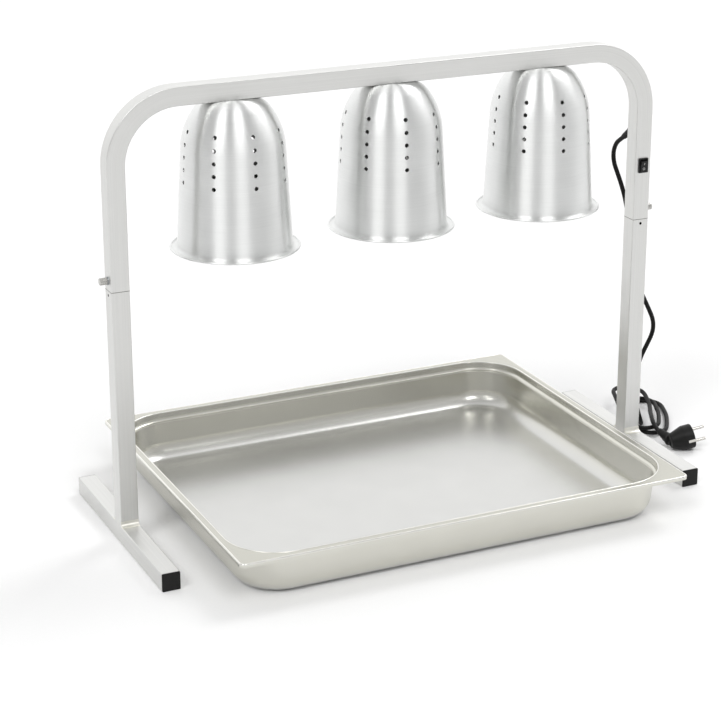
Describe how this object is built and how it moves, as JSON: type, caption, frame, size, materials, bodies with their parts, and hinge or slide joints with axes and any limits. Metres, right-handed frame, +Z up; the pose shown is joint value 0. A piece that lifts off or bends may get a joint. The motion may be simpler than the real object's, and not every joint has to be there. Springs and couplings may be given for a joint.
{
  "type": "food heat lamp",
  "caption": "Free-standing food heat lamp: a square tube arch with spun metal shades over a shallow pan, with a rocker switch, height clamps and a mains cord.",
  "frame": {"origin": "on the floor, midway between the feet and below the middle shade", "axes": "+X along the bar towards the switch, +Y from front to back, +Z up"},
  "size_m": [0.9282, 0.53, 0.608],
  "materials": {
    "tube_aluminium": "satin",
    "weld_aluminium": "as welded",
    "shade_aluminium": "spun, satin",
    "cap_plastic": "moulded, matt",
    "zinc_steel": "zinc plated",
    "black_steel": "blackened",
    "screw_steel": "nickel plated, knurled",
    "porcelain": "glazed porcelain",
    "brass": "drawn",
    "bulb_glass": "clear face, silvered neck",
    "bulb_cap_nickel": "nickel plated",
    "switch_plastic": "moulded, semi-gloss",
    "boot_rubber": "moulded",
    "wire_sleeve": "silicone sleeve",
    "cord_rubber": "matt",
    "plug_nickel": "nickel plated",
    "pan_steel": "satin stainless steel"
  },
  "bodies": {
    "base": {"foot_bar_left": "tube_aluminium", "foot_bar_right": "tube_aluminium", "foot_end_caps": "cap_plastic", "lower_leg_left": "tube_aluminium", "lower_leg_right": "tube_aluminium", "leg_welds": "weld_aluminium", "spigot_left": "zinc_steel", "spigot_right": "zinc_steel", "spigot_grub_screws": "black_steel", "cord_drop": "cord_rubber", "cord_hank": "cord_rubber", "cord_plug_lead": "cord_rubber", "plug_body": "cord_rubber", "plug_pins": "plug_nickel", "plug_earth_strips": "plug_nickel"},
    "arch": {"arch_tube": "tube_aluminium", "clamp_nuts": "zinc_steel", "shade_left": "shade_aluminium", "shade_middle": "shade_aluminium", "shade_right": "shade_aluminium", "shade_rim_left": "shade_aluminium", "shade_rim_middle": "shade_aluminium", "shade_rim_right": "shade_aluminium", "lampholder_left": "porcelain", "lampholder_middle": "porcelain", "lampholder_right": "porcelain", "holder_shells": "brass", "holder_contacts": "brass", "lamp_nipples": "zinc_steel", "nipple_nuts": "zinc_steel", "switch_housing": "switch_plastic", "switch_terminals": "zinc_steel", "switch_boot": "boot_rubber", "wiring_loom": "wire_sleeve", "supply_lead": "cord_rubber", "cord_gland": "cord_rubber"},
    "thumb_screw_left": {"thumb_screw_left": "screw_steel"},
    "thumb_screw_right": {"thumb_screw_right": "screw_steel"},
    "rocker": {"rocker": "switch_plastic"},
    "bulb_left": {"bulb_glass_left": "bulb_glass", "bulb_cap_left": "bulb_cap_nickel"},
    "bulb_middle": {"bulb_glass_middle": "bulb_glass", "bulb_cap_middle": "bulb_cap_nickel"},
    "bulb_right": {"bulb_glass_right": "bulb_glass", "bulb_cap_right": "bulb_cap_nickel"},
    "pan": {"pan": "pan_steel"}
  },
  "joints": [
    {"name": "arch_lift", "type": "slide", "parent": "base", "child": "arch", "axis": [0, 0, 1], "range_m": [0, 0.04], "deforming": ["cord_drop"]},
    {"name": "thumb_screw_left_turn", "type": "hinge", "parent": "arch", "child": "thumb_screw_left", "pos_m": [-0.3875, 0, 0.363], "axis": [-1, 0, 0], "range_deg": [0, 450]},
    {"name": "thumb_screw_right_turn", "type": "hinge", "parent": "arch", "child": "thumb_screw_right", "pos_m": [0.3875, 0, 0.363], "axis": [1, 0, 0], "range_deg": [0, 450]},
    {"name": "rocker_tilt", "type": "hinge", "parent": "arch", "child": "rocker", "pos_m": [0.3875, -0.0115, 0.42875], "axis": [-1, 0, 0], "range_deg": [0, 20]},
    {"name": "bulb_left_turn", "type": "hinge", "parent": "arch", "child": "bulb_left", "pos_m": [-0.225, 0, 0.55], "axis": [0, 0, 1], "continuous": true},
    {"name": "bulb_middle_turn", "type": "hinge", "parent": "arch", "child": "bulb_middle", "pos_m": [0, 0, 0.55], "axis": [0, 0, 1], "continuous": true},
    {"name": "bulb_right_turn", "type": "hinge", "parent": "arch", "child": "bulb_right", "pos_m": [0.225, 0, 0.55], "axis": [0, 0, 1], "continuous": true},
    {"name": "pan_slide", "type": "slide", "parent": "base", "child": "pan", "axis": [0, -1, 0], "range_m": [0, 0.45]}
  ]
}
